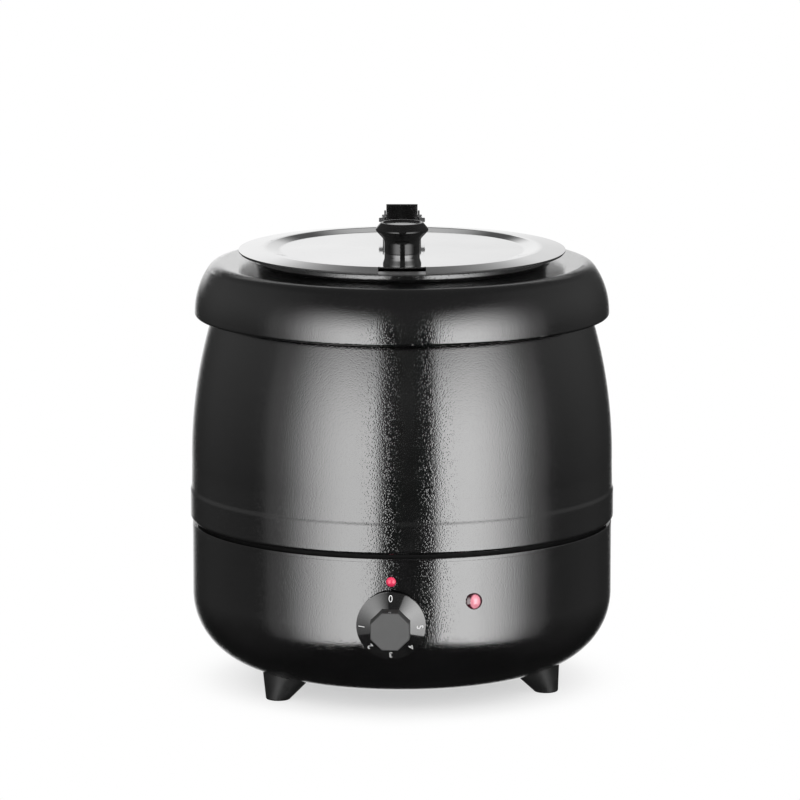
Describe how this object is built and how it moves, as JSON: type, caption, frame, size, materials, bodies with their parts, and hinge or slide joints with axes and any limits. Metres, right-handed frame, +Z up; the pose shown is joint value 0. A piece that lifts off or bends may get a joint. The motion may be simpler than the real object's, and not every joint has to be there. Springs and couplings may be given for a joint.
{
  "type": "soup kettle",
  "caption": "Electric wet-heat soup kettle: black hammered barrel body on feet, hung water tank over a ring element, lift-out pot, hinged lid with ladle notch, heat dial and pilot lamp.",
  "frame": {"origin": "floor plane under the body's axis, midway between the dial's face and the gland's nose", "axes": "+Z up along the body's axis, front with the dial faces -Y, lid hinge at +Y"},
  "size_m": [0.3451, 0.3858, 0.3901],
  "materials": {
    "hammered_black": "hammered gloss black stove enamel",
    "mirror_steel": "mirror polished stainless steel",
    "pot_steel": "satin stainless steel",
    "bright_steel": "bright stainless steel pins and brackets",
    "zinc_steel": "zinc-plated steel",
    "galvanised_sheet": "galvanised sheet steel",
    "tank_aluminium": "drawn aluminium",
    "element_sheath": "oxidised steel sheath",
    "black_gloss_plastic": "moulded gloss black phenolic",
    "foot_plastic": "moulded satin black plastic",
    "seam_plastic": "black heat-resistant plastic",
    "index_red": "red moulded plastic",
    "lamp_lens": "clear red moulded plastic",
    "dial_print": "white printed dial numbers",
    "gasket_silicone": "silicone rubber",
    "copper": "copper tube",
    "switch_case": "moulded switch case",
    "terminal_plastic": "white terminal moulding"
  },
  "bodies": {
    "kettle": {"lower_shell": "hammered_black", "seam_ring": "seam_plastic", "seam_bolts": "zinc_steel", "seam_nuts": "zinc_steel", "mid_shell": "hammered_black", "shoulder_cap": "hammered_black", "cap_studs": "zinc_steel", "cap_nuts": "zinc_steel", "tank_gasket": "gasket_silicone", "water_tank": "tank_aluminium", "thermostat_body": "switch_case", "thermostat_bracket": "galvanised_sheet", "thermostat_screws": "zinc_steel", "capillary_bulb": "copper", "element_clips": "galvanised_sheet", "bulb_clip": "galvanised_sheet", "clip_studs": "zinc_steel", "clip_nuts": "zinc_steel", "heating_element": "element_sheath", "heat_shield": "galvanised_sheet", "shield_studs": "zinc_steel", "shield_spacers": "zinc_steel", "shield_nuts": "zinc_steel", "thermal_cutout": "switch_case", "cutout_studs": "zinc_steel", "cutout_nuts": "zinc_steel", "pilot_lamp_lens": "lamp_lens", "pilot_lamp_body": "terminal_plastic", "pilot_lamp_nut": "seam_plastic", "dial_index": "index_red", "base_plate": "galvanised_sheet", "base_plate_screws": "zinc_steel", "terminal_block": "terminal_plastic", "terminal_block_screws": "zinc_steel", "cable_gland": "foot_plastic", "gland_nut": "foot_plastic", "foot_screws": "zinc_steel", "foot_nuts": "zinc_steel", "foot_left": "foot_plastic", "foot_right": "foot_plastic", "foot_rear": "foot_plastic"},
    "pot": {"soup_pot": "pot_steel", "hinge_base": "bright_steel", "hinge_base_rivets": "bright_steel", "hinge_pin": "bright_steel"},
    "lid": {"lid_disc": "mirror_steel", "knob_foot": "black_gloss_plastic", "lid_knob": "black_gloss_plastic", "knob_screw": "zinc_steel", "knob_washer": "zinc_steel", "lid_bracket": "bright_steel", "lid_bracket_rivets": "bright_steel", "cross_pin": "bright_steel", "hinge_arm": "black_gloss_plastic"},
    "dial": {"dial_knob": "black_gloss_plastic", "thermostat_shaft": "zinc_steel", "dial_clip": "zinc_steel"}
  },
  "joints": [
    {"name": "pot_lift", "type": "slide", "parent": "kettle", "child": "pot", "axis": [0, 0, 1], "range_m": [0, 0.3]},
    {"name": "lid_hinge", "type": "hinge", "parent": "pot", "child": "lid", "pos_m": [0, 0.14478, 0.3622], "axis": [-1, 0, 0], "range_deg": [0, 100]},
    {"name": "dial_turn", "type": "hinge", "parent": "kettle", "child": "dial", "pos_m": [-0.00865, -0.17078, 0.0808], "axis": [0.0504, 0.9949, 0.0872], "range_deg": [0, 270]}
  ]
}
